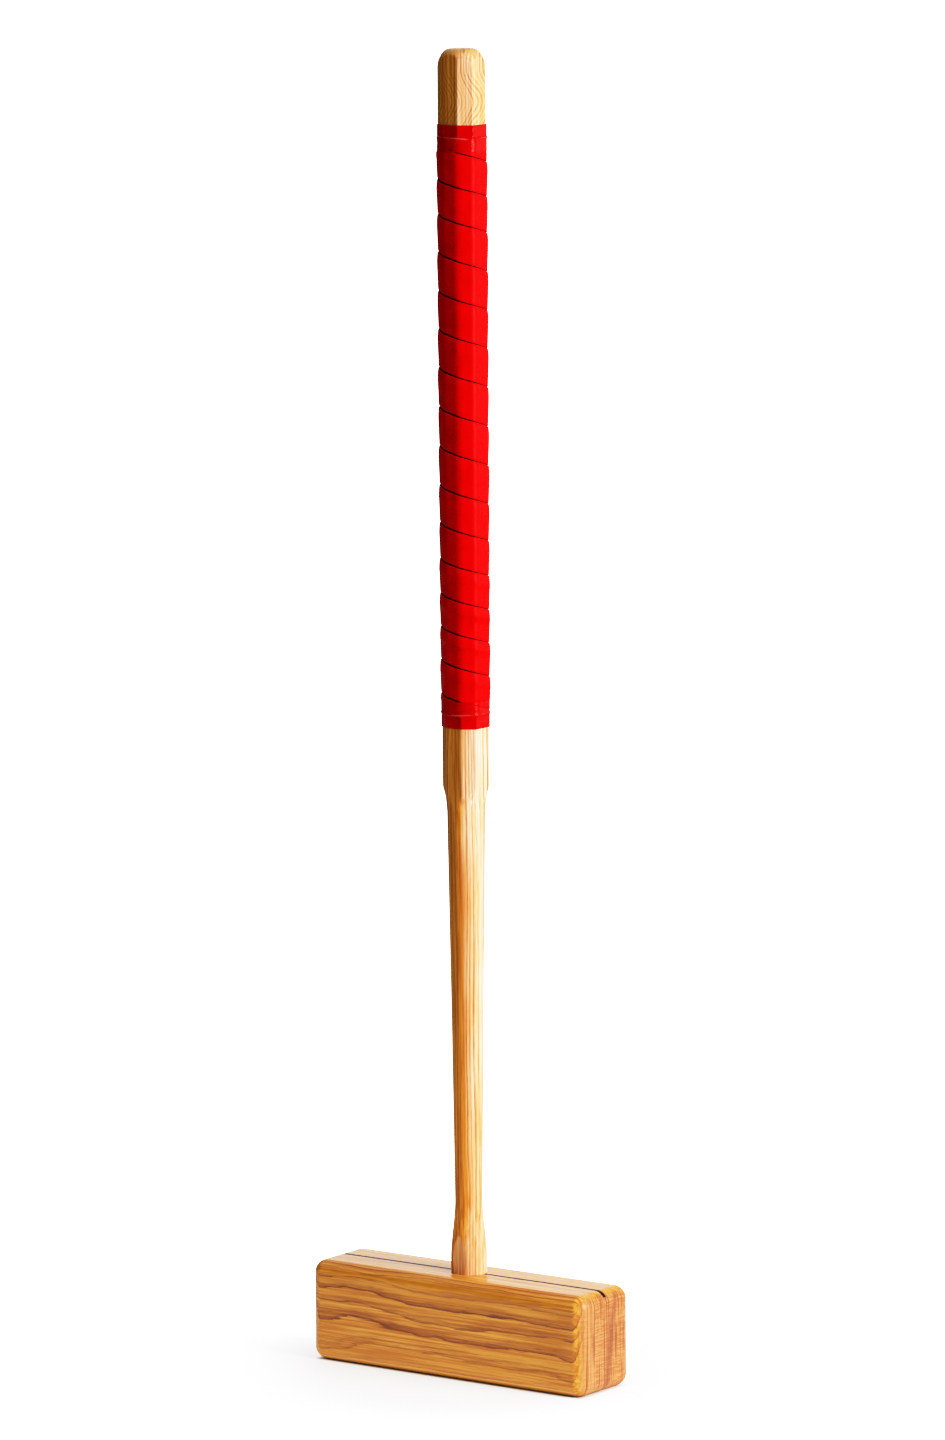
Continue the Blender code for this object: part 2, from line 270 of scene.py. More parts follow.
# Noises in the wood. A scale's three values run along the grain, through the growth rings and
# round with them. The shifts keep the noises apart.
RAGGED = dict(scale=(45.0, 700.0, 700.0), shift=0.0, detail=3.0, roughness=0.6)
FIBRE = dict(scale=(11.0, 650.0, 650.0), shift=3.0, detail=4.0, roughness=0.7)
PORES = dict(scale=(85.0, 1700.0, 1700.0), shift=7.0, detail=2.0, roughness=0.55)
RAYS = dict(scale=(40.0, 110.0, 1300.0), shift=5.0, detail=3.0, roughness=0.7)
BROAD = dict(scale=(7.0, 60.0, 45.0), shift=11.0, detail=2.0, roughness=0.5)
VEINS = dict(scale=(30.0, 700.0, 20.0), shift=13.0, detail=2.0, roughness=0.6)
KINK_SHIFT = 4.0
YEAR_SCALE = 90.0

# The levels of a noise between which each feature fades in
QUIET_YEARS = (0.38, 0.58)
FIBRE_TONES = (0.4, 0.6)
FIBRE_RANGE = (0.3, 0.7)
PORE_EDGE = (0.54, 0.66)
BROAD_EDGE = (0.38, 0.66)
RAY_EDGE = (0.42, 0.6)
VEIN_EDGE = (0.46, 0.62)

# Where in a ring the next one's early wood begins, and how much of its spacing a fine line fills
NEXT_RING_FROM = 0.93
FINE_LINE_WIDTH = 0.6

# Two levels of early wood, and how strongly pores show at each
PORES_IN_EARLY_WOOD = (0.02, 0.6, 0.25, 1.0)
# How strongly the band and the heart show at the two ends of the fibres' range
BAND_IN_FIBRE = (0.7, 1.2)
HEART_IN_FIBRE = (0.45, 0.75)
# How strongly each feature shows
END_BAND = 0.8
END_RAYS = 0.7
END_PALE = 0.45
END_VEINS = 0.75
END_COAT = 0.08
# How strongly the painted light on the foot's flats shows
FLAT_PAINTED_COVER = 0.7

WOOD_IOR = 1.5
PORE_ROUGHNESS = 0.15
FIBRE_ROUGHNESS = 0.12
FIBRE_RELIEF = 0.35
WOOD_BUMP_DEPTH = 0.0001
WOOD_BUMP = 0.35


class Plank:
    """Places in the wood, measured along the grain, through the growth rings and round with them."""

    def __init__(self, tree, look):
        self.tree = tree
        self.point = tree.node("ShaderNodeTexCoord").outputs["Object"]
        self.along = tree.vector("DOT_PRODUCT", self.point, look["grain"])
        self.deep = tree.vector("DOT_PRODUCT", self.point, look["through"])
        self.wide = tree.vector("DOT_PRODUCT", self.point, look["around"])

    def noise(self, scale, shift, detail, roughness=0.5):
        tree = self.tree
        place = tree.combine(
            tree.math("MULTIPLY_ADD", self.along, scale[0], shift),
            tree.math("MULTIPLY", self.deep, scale[1]),
            tree.math("MULTIPLY", self.wide, scale[2]),
        )
        return tree.noise(place, detail=detail, roughness=roughness)


def growth_rings(tree, plank, look):
    """Growth rings: nearly flat sheets that wander, so that they show as bands. Gives how they
    wander, the depth in them, and where the early wood, its fine lines and the ring lines are."""
    wander = plank.noise(look["wander_scale"], look["seed"], 3.0, 0.4)
    wander = tree.math("SUBTRACT", wander, 0.5)
    swirl = tree.math("SUBTRACT", plank.along, look["swirl_at"])
    swirl = tree.remap(tree.math("ABSOLUTE", swirl), 0.0, look["swirl_reach"], look["swirl"], 0.0)
    drift = tree.math("MULTIPLY_ADD", plank.wide, look["curl"], look["slope"])
    drift = tree.math("MULTIPLY", plank.wide, drift)
    depth = tree.math("ADD", plank.deep, drift)
    depth = tree.math("MULTIPLY_ADD", wander, look["wander"], depth)
    depth = tree.math("ADD", depth, swirl)
    kinks = plank.noise(look["kink_scale"], look["seed"] + KINK_SHIFT, 2.0)
    kinks = tree.math("SUBTRACT", kinks, 0.5)
    depth = tree.math("MULTIPLY_ADD", kinks, look["kinks"], depth)
    years = tree.noise(tree.combine(tree.math("MULTIPLY", depth, YEAR_SCALE), look["seed"], 0.0))
    ragged = tree.math("SUBTRACT", plank.noise(**RAGGED), 0.5)
    depth = tree.math("MULTIPLY_ADD", ragged, look["ragged"], depth)

    rings = tree.math("DIVIDE", depth, look["ring"])
    rings = tree.math("ADD", rings, look["start"])
    place = tree.math("FRACT", rings)
    strength = tree.random(tree.math("FLOOR", rings))
    strength = tree.remap(strength, 0.0, 1.0, look["weakest"], 1.0, "LINEAR")
    strength = tree.math("MULTIPLY", strength, tree.remap(years, *QUIET_YEARS, look["calm"], 1.0))
    fall = tree.remap(place, 0.0, look["fade"], 1.0, 0.0)
    rise = tree.remap(place, NEXT_RING_FROM, 1.0, 0.0, 1.0)
    early = tree.math("MULTIPLY", tree.math("MAXIMUM", fall, rise), strength)
    fine = tree.math("FRACT", tree.math("MULTIPLY", rings, look["fine_lines"]))
    fine = tree.math("MULTIPLY", tree.remap(fine, 0.0, FINE_LINE_WIDTH, 1.0, 0.0), fall)
    line = tree.math("MULTIPLY", tree.remap(place, 0.0, look["line_width"], 1.0, 0.0), strength)
    return {"wander": wander, "depth": depth, "early": early, "fine": fine, "line": line}


def side_color(tree, plank, look, rings, fibre, tone, pore_mask):
    """The wood's colour along the grain, with a pale side that is partly sapwood and partly painted
    light: on the shaft it is the side the key light falls on.
    """
    wood = tree.mix(tone, look["light"], look["middle"])
    # Paler towards the given side and lower down: sapwood and painted light together
    side = tree.vector("DOT_PRODUCT", plank.point, look["sap_lit_side"])
    side = tree.math("MULTIPLY_ADD", rings["wander"], look["sap_lit_wander"], side)
    low = tree.remap(plank.along, *look["sap_lit_low_reach"], look["sap_lit_low"], 0.0)
    side = tree.math("ADD", side, low)
    sap_lit = tree.remap(side, look["sap_lit_from"], look["sap_lit_to"])
    wood = tree.mix(sap_lit, wood, tree.mix(tone, look["sap_lit_light"], look["sap_lit_middle"]))
    broad = tree.remap(plank.noise(**BROAD), *BROAD_EDGE, 0.0, look["broad"])
    wood = tree.mix(broad, wood, look["broad_color"])
    band = tree.math("MULTIPLY", rings["early"], look["band"])
    band = tree.math("MULTIPLY", band, tree.remap(fibre, *FIBRE_RANGE, *BAND_IN_FIBRE, "LINEAR"))
    wood = tree.mix(tree.math("MINIMUM", band, 1.0), wood, look["dark"])
    fine = tree.math("MULTIPLY", rings["fine"], look["fine"])
    wood = tree.mix(fine, wood, look["line_color"])
    line = tree.math("MULTIPLY", rings["line"], look["line"])
    wood = tree.mix(line, wood, look["line_color"])
    return tree.mix(tree.math("MULTIPLY", pore_mask, look["pore"]), wood, look["pore_color"])


def end_color(tree, plank, look, rings, fibre):
    """The end grain's colour, with its rays across the rings, pale part, veins and brown heart."""
    early = tree.math("MULTIPLY", rings["early"], END_BAND)
    end = tree.mix(early, look["end_light"], look["end_dark"])
    rays = tree.remap(plank.noise(**RAYS), *RAY_EDGE, 0.0, END_RAYS)
    end = tree.mix(rays, end, look["end_ray"])
    pale = tree.remap(plank.deep, look["end_pale_from"], look["end_pale_to"], 0.0, END_PALE)
    end = tree.mix(pale, end, look["end_pale"])
    veins = tree.remap(plank.noise(**VEINS), *VEIN_EDGE, 0.0, END_VEINS)
    end = tree.mix(veins, end, look["end_dark"])
    heart = tree.math("SUBTRACT", rings["depth"], look["heart"])
    heart = tree.remap(tree.math("ABSOLUTE", heart), 0.0, look["heart_width"], 1.0, 0.0)
    heart = tree.math("MULTIPLY", heart, tree.remap(fibre, *FIBRE_RANGE, *HEART_IN_FIBRE))
    return tree.mix(heart, end, look["heart_color"])


def make_wood(name, look):
    """Lacquered hardwood with open pores. The look gives the directions along the grain, through
    the growth rings and round with them, and the colours."""
    material, tree, shader = new_material(name)
    plank = Plank(tree, look)
    rings = growth_rings(tree, plank, look)

    # Fibres and open pores, which are short dark dashes in the early wood
    fibre = plank.noise(**FIBRE)
    tone = tree.remap(fibre, *FIBRE_TONES)
    pore_mask = tree.remap(plank.noise(**PORES), *PORE_EDGE)
    early = tree.remap(rings["early"], *PORES_IN_EARLY_WOOD)
    pore_mask = tree.math("MULTIPLY", pore_mask, early)

    normal = tree.node("ShaderNodeNewGeometry").outputs["Normal"]
    facing = tree.math("ABSOLUTE", tree.vector("DOT_PRODUCT", normal, look["grain"]))
    end_grain = tree.remap(facing, look["end_from"], look["end_to"])
    side = side_color(tree, plank, look, rings, fibre, tone, pore_mask)
    wood = tree.mix(end_grain, side, end_color(tree, plank, look, rings, fibre))

    # The foot's flats are painted paler: painted light standing in for the bounce light and
    # reflection they catch
    flat_painted_light = tree.node("ShaderNodeAttribute", attribute_name="flat_painted_light").outputs["Fac"]
    painted_flat = tree.mix(tone, look["flat_painted_pale"], look["flat_painted_middle"])
    wood = tree.mix(tree.math("MULTIPLY", flat_painted_light, FLAT_PAINTED_COVER), wood, painted_flat)

    tree.put(shader.inputs["Base Color"], wood)
    rough = tree.math("MULTIPLY_ADD", pore_mask, PORE_ROUGHNESS, look["roughness"])
    uneven = tree.math("SUBTRACT", fibre, 0.5)
    rough = tree.math("MULTIPLY_ADD", uneven, FIBRE_ROUGHNESS, rough)
    tree.put(shader.inputs["Roughness"], rough)
    shader.inputs["IOR"].default_value = WOOD_IOR
    shader.inputs["Specular IOR Level"].default_value = look["specular"]
    tree.put(shader.inputs["Coat Weight"], tree.remap(end_grain, 0.0, 1.0, look["coat"], END_COAT))
    shader.inputs["Coat Roughness"].default_value = look["coat_roughness"]
    relief = tree.math("MULTIPLY", fibre, FIBRE_RELIEF)
    relief = tree.math("MULTIPLY_ADD", pore_mask, -1.0, relief)
    tree.put(shader.inputs["Normal"], tree.bump(relief, WOOD_BUMP_DEPTH, WOOD_BUMP))
    return material


HEAD_LOOK = {
    "grain": (1.0, 0.0, 0.0),
    "through": (0.0, -1.0, 0.0),
    "around": (0.0, 0.0, 1.0),
    "seed": 2.0,
    "wander_scale": (9.0, 25.0, 22.0),
    "wander": 0.0052,
    "kink_scale": (22.0, 90.0, 60.0),
    "kinks": 0.0016,
    "slope": 0.08,
    "curl": 1.6,
    "swirl_at": 0.0,
    "swirl_reach": 0.01,
    "swirl": 0.0,
    "ragged": 0.0007,
    "ring": 0.0022,
    "start": 0.0,
    "weakest": 0.08,
    "fade": 0.75,
    "fine_lines": 4.0,
    "fine": 0.35,
    "light": color(240, 174, 70),
    "middle": color(198, 120, 20),
    "broad": 0.5,
    "broad_color": color(212, 140, 38),
    "band": 1.0,
    "dark": color(160, 82, 10),
    "line": 0.85,
    "line_width": 0.18,
    "calm": 0.25,
    "line_color": color(122, 56, 4),
    "pore": 0.5,
    "pore_color": color(128, 62, 6),
    "end_from": 0.3,
    "end_to": 0.95,
    "end_light": color(166, 102, 54),
    "end_dark": color(110, 56, 26),
    "end_ray": color(192, 134, 80),
    "end_pale": color(194, 132, 82),
    "end_pale_from": 0.011,
    "end_pale_to": 0.017,
    "heart": 0.001,
    "heart_width": 0.005,
    "heart_color": color(112, 64, 40),
    "sap_lit_side": (0.0, 0.0, -1.0),
    "sap_lit_wander": 0.0,
    "sap_lit_low": 0.0,
    "sap_lit_low_reach": (0.0, 1.0),
    "sap_lit_from": 0.0,
    "sap_lit_to": 1.0,
    "sap_lit_light": color(246, 204, 132),
    "sap_lit_middle": color(232, 176, 96),
    # Colours of the painted light on the foot's flats
    "flat_painted_pale": color(246, 194, 134),
    "flat_painted_middle": color(214, 146, 84),
    "roughness": 0.42,
    "specular": 0.18,
    "coat": 0.4,
    "coat_roughness": 0.1,
}

SHAFT_LOOK = dict(
    HEAD_LOOK,
    grain=(0.0, 0.0, 1.0),
    through=(0.788, 0.616, 0.0),
    around=(0.616, -0.788, 0.0),
    seed=9.0,
    wander_scale=(5.0, 60.0, 60.0),
    wander=0.008,
    kink_scale=(14.0, 120.0, 120.0),
    kinks=0.0012,
    slope=0.1,
    curl=0.0,
    swirl_at=0.879,
    swirl_reach=0.022,
    swirl=-0.0085,
    ragged=0.0004,
    ring=0.0024,
    light=color(246, 170, 60),
    middle=color(192, 104, 14),
    broad_color=color(210, 128, 36),
    # The pale side faces the key light: painted light as well as sapwood
    sap_lit_side=(0.966, -0.259, 0.0),
    sap_lit_wander=0.002,
    sap_lit_low=0.002,
    sap_lit_low_reach=(0.36, 0.42),
    sap_lit_from=0.0075,
    sap_lit_to=0.0115,
    sap_lit_light=color(255, 216, 184),
    sap_lit_middle=color(238, 168, 114),
    specular=0.12,
    dark=color(170, 88, 12),
    line=0.9,
    line_width=0.26,
    weakest=0.3,
    line_color=color(134, 60, 4),
    pore_color=color(146, 74, 10),
    end_light=color(230, 176, 108),
    end_dark=color(180, 110, 50),
    end_ray=color(236, 190, 128),
    end_from=0.35,
    end_pale_from=0.2,
    end_pale_to=0.3,
    heart=0.2,
    band=0.8,
    coat=0.12,
    coat_roughness=0.3,
)


# ---------------------------------------------------------------- tapes and inlay

GRIP_COLORS = (color(222, 0, 1), color(204, 0, 0))
GRIP_SCUFF_COLOR = color(214, 16, 26)
# Near-black painted shade for the seams between the turns
GRIP_SEAM_SHADE_COLOR = color(40, 2, 3)
GRIP_SPECULAR = 0.02
TAPE_COLORS = (color(200, 0, 1), color(182, 0, 1))
# Pale red for the painted highlight on the tapes' lip
TAPE_LIP_HIGHLIGHT_COLOR = color(255, 120, 120)
TAPE_SPECULAR = 0.04
INLAY_COLORS = (color(26, 16, 18), color(12, 6, 8))
INLAY_SPECULAR = 0.05
# The levels of a noise between which two colours, or two degrees of gloss, change over
PATCHES = (0.3, 0.7)


def make_grip_material():
    """Cushioned polyurethane tape: satin red with a fine pebbled face, and near-black painted shade
    in its seams.
    """
    material, tree, shader = new_material("grip_red")
    point = tree.node("ShaderNodeTexCoord").outputs["Object"]
    patches = tree.noise(point, scale=90.0, detail=3.0, roughness=0.6)
    red = tree.mix(tree.remap(patches, *PATCHES), *GRIP_COLORS)
    scuffs = tree.noise(point, scale=900.0, detail=3.0, roughness=0.7)
    scuffs = tree.remap(scuffs, low=0.55, high=0.8, new_high=0.3)
    red = tree.mix(scuffs, red, GRIP_SCUFF_COLOR)
    # Painted shade: the seams are darkened to near-black, for the dark of the crevices
    seam_shade = tree.node("ShaderNodeAttribute", attribute_name="seam_shade").outputs["Fac"]
    red = tree.mix(seam_shade, red, GRIP_SEAM_SHADE_COLOR)
    tree.put(shader.inputs["Base Color"], red)
    rough = tree.noise(point, scale=420.0, detail=2.0)
    rough = tree.remap(rough, *PATCHES, new_low=0.34, new_high=0.44, kind="LINEAR")
    tree.put(shader.inputs["Roughness"], rough)
    grain = tree.noise(point, scale=2600.0, detail=2.0, roughness=0.6)
    tree.put(shader.inputs["Normal"], tree.bump(grain, distance=0.0001, strength=0.3))
    shader.inputs["Specular IOR Level"].default_value = GRIP_SPECULAR
    return material


def make_tape_material():
    """Glossy vinyl, with a painted highlight on the lip where it is stretched over the wrap's end."""
    material, tree, shader = new_material("tape_red")
    point = tree.node("ShaderNodeTexCoord").outputs["Object"]
    patches = tree.noise(point, scale=120.0, detail=2.0)
    red = tree.mix(tree.remap(patches, *PATCHES), *TAPE_COLORS)
    # Painted highlight: the lip is made paler where light would catch it
    lip_highlight = tree.node("ShaderNodeAttribute", attribute_name="lip_highlight").outputs["Fac"]
    lip_highlight = tree.remap(lip_highlight, low=0.35, high=1.3, new_high=0.6)
    red = tree.mix(lip_highlight, red, TAPE_LIP_HIGHLIGHT_COLOR)
    tree.put(shader.inputs["Base Color"], red)
    marks = tree.noise(point, scale=700.0, detail=3.0, roughness=0.6)
    rough = tree.remap(marks, low=0.35, high=0.75, new_low=0.12, new_high=0.22, kind="LINEAR")
    tree.put(shader.inputs["Roughness"], rough)
    x, y, z = tree.separate(point)
    pulled = tree.combine(x, y, tree.math("MULTIPLY", z, 6.0))
    waves = tree.noise(pulled, scale=180.0)
    tree.put(shader.inputs["Normal"], tree.bump(waves, distance=0.0003, strength=0.25))
    shader.inputs["Specular IOR Level"].default_value = TAPE_SPECULAR
    return material


def make_sight_material():
    """Gloss black inlay."""
    material, tree, shader = new_material("sight_black")
    point = tree.node("ShaderNodeTexCoord").outputs["Object"]
    marks = tree.noise(point, scale=400.0, detail=3.0)
    tree.put(shader.inputs["Base Color"], tree.mix(marks, *INLAY_COLORS))
    rough = tree.remap(marks, *PATCHES, new_low=0.3, new_high=0.45, kind="LINEAR")
    tree.put(shader.inputs["Roughness"], rough)
    tree.put(shader.inputs["Normal"], tree.bump(marks, distance=0.00005, strength=0.3))
    shader.inputs["Specular IOR Level"].default_value = INLAY_SPECULAR
    return material


# ---------------------------------------------------------------- mesh helpers


def box_mesh(name, low, high):
    """A box between two opposite corners."""
    bm = bmesh.new()
    bmesh.ops.create_cube(bm, size=1.0)
    bmesh.ops.scale(bm, verts=bm.verts, vec=Vector(high) - Vector(low))
    bmesh.ops.translate(bm, verts=bm.verts, vec=(Vector(high) + Vector(low)) / 2)
    mesh = bpy.data.meshes.new(name)
    bm.to_mesh(mesh)
    bm.free()
    return mesh


def loft(bm, rings, tube=False):
    """A skin over rings with equal point counts, from the top ring down. A tube's last ring
    joins its first; a plain loft is left open at both ends."""
    rows = [[bm.verts.new(point) for point in ring] for ring in rings]
    count = len(rows[0])
    pairs = list(zip(rows, rows[1:]))
    if tube:
        pairs.append((rows[-1], rows[0]))
    for upper, lower in pairs:
        for i in range(count):
            j = (i + 1) % count
            bm.faces.new((upper[i], lower[i], lower[j], upper[j]))
    return rows


def fan(bm, row, centre, up):
    """Closes a ring of vertices to a centre point."""
    hub = bm.verts.new(centre)
    count = len(row)
    for i in range(count):
        j = (i + 1) % count
        bm.faces.new((hub, row[i], row[j]) if up else (hub, row[j], row[i]))


def finish_mesh(bm, name):
    mesh = bpy.data.meshes.new(name)
    bm.to_mesh(mesh)
    bm.free()
    mesh.shade_smooth()
    return mesh


def add_piece(name, mesh, node, material, sharp_degrees=None):
    """A visible piece that stands for a CAD node."""
    if sharp_degrees:
        mesh.set_sharp_from_angle(angle=math.radians(sharp_degrees))
    mesh.materials.clear()
    mesh.materials.append(material)
    piece = bpy.data.objects.new(name, mesh)
    bpy.context.scene.collection.objects.link(piece)
    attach(piece, "root")
    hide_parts(node)
    return piece


def finish_cad_node(name, material):
    """Gives a CAD node its material. Its mesh stays as the CAD made it."""
    for slot in NODES[name].material_slots:
        slot.material = material


def cut(piece, meshes):
    """Subtracts meshes from a piece for good."""
    tools = []
    for mesh in meshes:
        tool = bpy.data.objects.new(mesh.name, mesh)
        bpy.context.scene.collection.objects.link(tool)
        tools.append(tool)
        modifier = piece.modifiers.new(mesh.name, "BOOLEAN")
        modifier.operation = "DIFFERENCE"
        modifier.solver = "EXACT"
        modifier.object = tool
    apply_modifiers(piece)
    for tool in tools:
        bpy.data.objects.remove(tool, do_unlink=True)


def apply_modifiers(piece):
    evaluated = piece.evaluated_get(bpy.context.evaluated_depsgraph_get())
    mesh = bpy.data.meshes.new_from_object(evaluated)
    piece.modifiers.clear()
    piece.data = mesh


# ---------------------------------------------------------------- the handle's octagon


def handle_scale(z):
    return 1.0 - HANDLE_TAPER * (SHAFT_HIGH.z - z)


def facet_corner(index, z, offset):
    """The corner between two facets of the handle at height z, each moved out by offset."""
    scale = handle_scale(z)
    first = FACET_ANGLES[index]
    second = FACET_ANGLES[(index + 1) % 8]
    near = FACET_DISTANCES[index] * scale + offset
    far = FACET_DISTANCES[(index + 1) % 8] * scale + offset
    turn = math.sin(second - first)
    x = (near * math.sin(second) - far * math.sin(first)) / turn
    y = (far * math.cos(first) - near * math.cos(second)) / turn
    return Vector((x, y, z))


def ring_point(index, z, offset, rounding):
    """Point number index round the octagon at height z, grown by offset, its corners rounded.

    The ring starts at FIRST_CORNER. Each corner has ARC_STEPS + 1 points, and each facet
    FACET_STEPS - 1 points between its two corners'.
    """
    per_corner = ARC_STEPS + FACET_STEPS
    step = (index // per_corner) % 8
    within = index % per_corner
    if within <= ARC_STEPS:
        return arc_point(step, within / ARC_STEPS, z, offset, rounding)
    start = arc_point(step, 1.0, z, offset, rounding)
    end = arc_point((step + 1) % 8, 0.0, z, offset, rounding)
    return start.lerp(end, (within - ARC_STEPS) / FACET_STEPS)


def arc_point(step, part, z, offset, rounding):
    """A point on a corner's rounding, from 0 at its first facet to 1 at its second."""
    index = (FIRST_CORNER + step) % 8
    first = FACET_ANGLES[index]
    second = FACET_ANGLES[(index + 1) % 8]
    if second < first:
        second += 2 * math.pi
    angle = first + (second - first) * part
    if second - first < SHALLOW_CORNER:
        rounding *= SHALLOW_ROUNDING
    centre = facet_corner(index, z, offset - rounding)
    return centre + rounding * Vector((math.cos(angle), math.sin(angle), 0.0))


RING_COUNT = 8 * (ARC_STEPS + FACET_STEPS)


def ring_fractions():
    """How far round the wrap each point of a ring lies, from 0 to 1."""
    middle = (WRAP_LOW.z + WRAP_HIGH.z) / 2
    ring = [ring_point(i, middle, WRAP_MEAN_THICK, WRAP_ROUNDING) for i in range(RING_COUNT)]
    sides = [(ring[(i + 1) % RING_COUNT] - ring[i]).length for i in range(RING_COUNT)]
    return [sum(sides[:i]) / sum(sides) for i in range(RING_COUNT)]


FRACTIONS = ring_fractions()


# ---------------------------------------------------------------- grip wrap

# One turn of tape, from its upper edge down. The edge rises steeply out of the seam, and the turn
# thins towards the next one. Distance below its upper edge and thickness, both in mm:
TURN_TOP = [
    (0.0, 0.62),
    (0.05, 0.74),
    (0.14, 0.86),
    (0.3, 1.0),
    (0.6, 1.08),
    (1.2, 1.17),
    (2.2, 1.26),
    (3.6, 1.35),
    (5.8, 1.42),
    (8.2, 1.4),
]
# Distance above the next turn's upper edge and thickness, both in mm:
TURN_BOTTOM = [
    (14.5, 1.3),
    (11.0, 1.2),
    (8.0, 1.1),
    (5.0, 1.02),
    (3.0, 0.97),
    (1.9, 0.94),
]
# Distance above the seam's upper side and thickness, both in mm:
SEAM_BORDER = [(0.45, 0.9), (0.15, 0.82), (0.04, 0.68), (0.0, 0.62)]
SEAM_WIDTH = 0.0009
# Where a turn is thinner than this, it is in the seam and gets painted shade
SEAM_DEEP = 0.0007
SEAM_SWING = 0.00045
SEAM_WIDEST = math.radians(-55)
MILLIMETRE = 0.001

# The factor on the tape's thickness: its mean, then the size, rate and start of two slow waves
WIND_MEAN = 1.12
WIND_WAVES = ((0.05, 2.3, 0.7), (0.04, 5.1, 2.0))
MERGE_DISTANCE = 0.00001
RIM_TOLERANCE = 0.00002


def wrap_edge_z(turn):
    """Height of the wound tape's upper edge after a number of turns from the first edge."""
    spread = (turn - WRAP_STRETCH_TURN) / WRAP_STRETCH_SPREAD
    slip = (turn - WRAP_SLIP_TURN) / WRAP_SLIP_SPREAD
    z = WRAP_FIRST_EDGE - WRAP_PITCH * turn - WRAP_STRETCH * math.exp(-spread * spread)
    return z + WRAP_SLIP * math.exp(-slip * slip)


def seam_gap(index):
    """The open seam's width, which swings once round the handle."""
    point = ring_point(index, WRAP_LOW.z, 0.0, WRAP_ROUNDING)
    azimuth = math.atan2(point.x, -point.y)
    return SEAM_WIDTH + SEAM_SWING * math.cos(azimuth - SEAM_WIDEST)


def turn_profile(high, low, gap):
    """Heights and thicknesses down one turn between its own upper edge and the next one's."""
    rows = [(high - down * MILLIMETRE, thick * MILLIMETRE) for down, thick in TURN_TOP]
    rows += [(low + up * MILLIMETRE, thick * MILLIMETRE) for up, thick in TURN_BOTTOM]
    border = low + gap
    rows += [(border + up * MILLIMETRE, thick * MILLIMETRE) for up, thick in SEAM_BORDER]
    rows.append((low, rows[-1][1]))
    return rows


def pressed(z, thickness):
    """The wrap's thickness, less where a finishing tape pulls it down."""
    depth = max(z - UPPER_LOW.z, LOWER_HIGH.z - z)
    part = max(0.0, min(1.0, depth / PRESS_REACH + 0.5))
    return thickness + (min(thickness, WRAP_TAPED_THICK) - thickness) * part


def hand_wound(turn):
    """The factor on the tape's thickness, which changes with how tightly it was pulled."""
    waves = (size * math.sin(rate * turn + start) for size, rate, start in WIND_WAVES)
    return sum(waves, WIND_MEAN)


def make_grip_wrap(material):
    """The wound tape's spiral face, trimmed at both ends and lined with a plain inner sleeve.

    Known faults: the mesh has open edges, and its end caps reach across the bore.
    """
    bm = bmesh.new()
    seam_shade = bm.verts.layers.float.new("seam_shade")
    gaps = [seam_gap(index) for index in range(RING_COUNT)]
    columns = []
    for sample in range((WRAP_LAST_TURN - WRAP_FIRST_TURN + 1) * RING_COUNT + 1):
        point = sample % RING_COUNT
        turn = WRAP_FIRST_TURN + sample // RING_COUNT + FRACTIONS[point]
        column = []
        rows = turn_profile(wrap_edge_z(turn), wrap_edge_z(turn + 1), gaps[point])
        for z, thickness in rows:
            offset = pressed(z, thickness * hand_wound(turn))
            vert = bm.verts.new(ring_point(point, z, offset, WRAP_ROUNDING))
            # A vertex deep in the seam gets the painted seam shade
            vert[seam_shade] = 1.0 if thickness < SEAM_DEEP else 0.0
            column.append(vert)
        columns.append(column)
    for left, right in zip(columns, columns[1:]):
        for m in range(len(left) - 1):
            bm.faces.new((left[m], left[m + 1], right[m + 1], right[m]))
    bmesh.ops.remove_doubles(bm, verts=bm.verts, dist=MERGE_DISTANCE)
    for height, side in ((WRAP_HIGH.z, 1), (WRAP_LOW.z, -1)):
        bmesh.ops.bisect_plane(
            bm,
            geom=bm.verts[:] + bm.edges[:] + bm.faces[:],
            plane_co=(0, 0, height),
            plane_no=(0, 0, side),
            clear_outer=True,
        )
    tall = WRAP_LOW.z - WRAP_HIGH.z
    heights = [WRAP_HIGH.z + tall * i / SLEEVE_ROWS for i in range(SLEEVE_ROWS + 1)]
    inside = [[inner_point(i, z) for i in range(RING_COUNT)] for z in reversed(heights)]
    # The inner sleeve, seen at the bottom of the seams, gets the painted seam shade too
    for ring in loft(bm, inside):
        for vert in ring:
            vert[seam_shade] = 1.0
    for height in (WRAP_HIGH.z, WRAP_LOW.z):
        rim = [
            edge
            for edge in bm.edges
            if edge.is_boundary and all(abs(v.co.z - height) < RIM_TOLERANCE for v in edge.verts)
        ]
        bmesh.ops.bridge_loops(bm, edges=rim)
    bmesh.ops.recalc_face_normals(bm, faces=bm.faces)
    mesh = finish_mesh(bm, "grip_tape")
    return add_piece("grip_tape", mesh, "grip_wrap", material, sharp_degrees=50)


def inner_point(index, z):
    """A point of the sleeve's inner face, just clear of the wood."""
    return ring_point(index, z, CLEAR, 2 * CLEAR)


# ---------------------------------------------------------------- finishing tapes


def wrap_surface(index, z):
    """The wound tape's thickness at a ring point and height, its crevices bridged a little."""
    turn = WRAP_FIRST_TURN + FRACTIONS[index]
    while wrap_edge_z(turn + 1) > z:
        turn += 1
    rows = turn_profile(wrap_edge_z(turn), wrap_edge_z(turn + 1), SEAM_WIDTH)
    for (z_above, above), (z_below, below) in zip(rows, rows[1:]):
        if z_below <= z <= z_above:
            part = (z_above - z) / max(z_above - z_below, 1e-9)
            thickness = above + (below - above) * part
            return pressed(z, max(thickness, WRAP_BRIDGED_THICK))
    return pressed(z, rows[-1][1])


def ripple(angle, seed):
    """A smooth irregular wave round the handle, from about -1 to 1."""
    waves = ((3, 0.45), (5, 0.35), (8, 0.2))
    return sum(size * math.sin(count * angle + seed * (count + 1)) for count, size in waves)


def smooth_step(value):
    value = max(0.0, min(1.0, value))
    return value * value * (3 - 2 * value)


